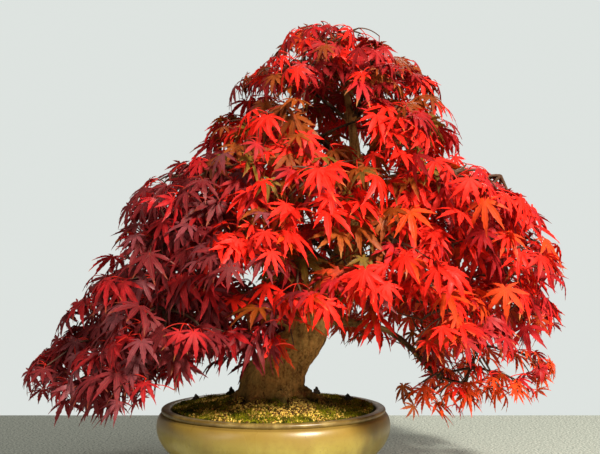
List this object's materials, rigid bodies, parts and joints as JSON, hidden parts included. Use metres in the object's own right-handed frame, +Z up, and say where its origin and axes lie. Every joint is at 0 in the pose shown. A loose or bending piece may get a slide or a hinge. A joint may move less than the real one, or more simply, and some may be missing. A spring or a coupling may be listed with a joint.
{
  "type": "bonsai tree in a pot",
  "caption": "Japanese maple bonsai in red autumn leaf: leaning trunk, drooping tiers of foliage, in a shallow round glazed pot with mossy, gritty soil.",
  "frame": {"origin": "on the surface that the pot stands on, under the middle of the whole outline (the pot's axis is 24 mm to its left)", "axes": "+Z up, +X to the right of the tree's front view, which is its longest side, +Y to its back"},
  "size_m": [0.7158, 0.4459, 0.5723],
  "materials": {
    "glaze": "glossy ochre and olive glaze, darker under the lip",
    "soil": "damp granular soil",
    "grit": "golden tan grit, 1 to 4 mm grains",
    "moss": "short dark green moss",
    "fertiliser": "matt dark brown pressed meal",
    "bark": "smooth brown maple bark, mossy at the base",
    "leaf": "red to maroon autumn leaves with a slight sheen",
    "screen_plastic": "black plastic mesh",
    "wire": "annealed copper wire"
  },
  "bodies": {
    "root": {"anchor_wire": "wire", "drain_screen_left": "screen_plastic", "drain_screen_right": "screen_plastic", "fertiliser_cake_1": "fertiliser", "fertiliser_cake_2": "fertiliser", "fertiliser_cake_3": "fertiliser", "fertiliser_cake_4": "fertiliser", "foliage_crown": "leaf", "foliage_front": "leaf", "foliage_low_back_left": "leaf", "foliage_low_back_right": "leaf", "foliage_low_front_left": "leaf", "foliage_low_front_right": "leaf", "foliage_low_left": "leaf", "foliage_low_left_front": "leaf", "foliage_low_right": "leaf", "foliage_low_right_front": "leaf", "foliage_lower_back": "leaf", "foliage_lower_back_left": "leaf", "foliage_lower_back_right": "leaf", "foliage_lower_front_left": "leaf", "foliage_lower_front_right": "leaf", "foliage_lower_left": "leaf", "foliage_lower_left_front": "leaf", "foliage_lower_right": "leaf", "foliage_lower_right_front": "leaf", "foliage_middle_back": "leaf", "foliage_middle_back_left": "leaf", "foliage_middle_back_right": "leaf", "foliage_middle_front": "leaf", "foliage_middle_front_left": "leaf", "foliage_middle_front_right": "leaf", "foliage_middle_left": "leaf", "foliage_middle_right": "leaf", "foliage_skirt_back": "leaf", "foliage_skirt_back_left": "leaf", "foliage_skirt_back_right": "leaf", "foliage_skirt_front_left": "leaf", "foliage_skirt_front_right": "leaf", "foliage_skirt_left": "leaf", "foliage_skirt_right": "leaf", "foliage_top_back": "leaf", "foliage_top_front_left": "leaf", "foliage_top_front_right": "leaf", "foliage_top_left": "leaf", "foliage_top_right": "leaf", "foliage_upper_back_left": "leaf", "foliage_upper_back_right": "leaf", "foliage_upper_front_left": "leaf", "foliage_upper_front_right": "leaf", "foliage_upper_left": "leaf", "foliage_upper_right": "leaf", "grit_top_dressing": "grit", "moss_carpet": "moss", "pot": "glaze", "screen_clip_left": "wire", "screen_clip_right": "wire", "soil": "soil", "tree_wood": "bark"}
  },
  "joints": []
}
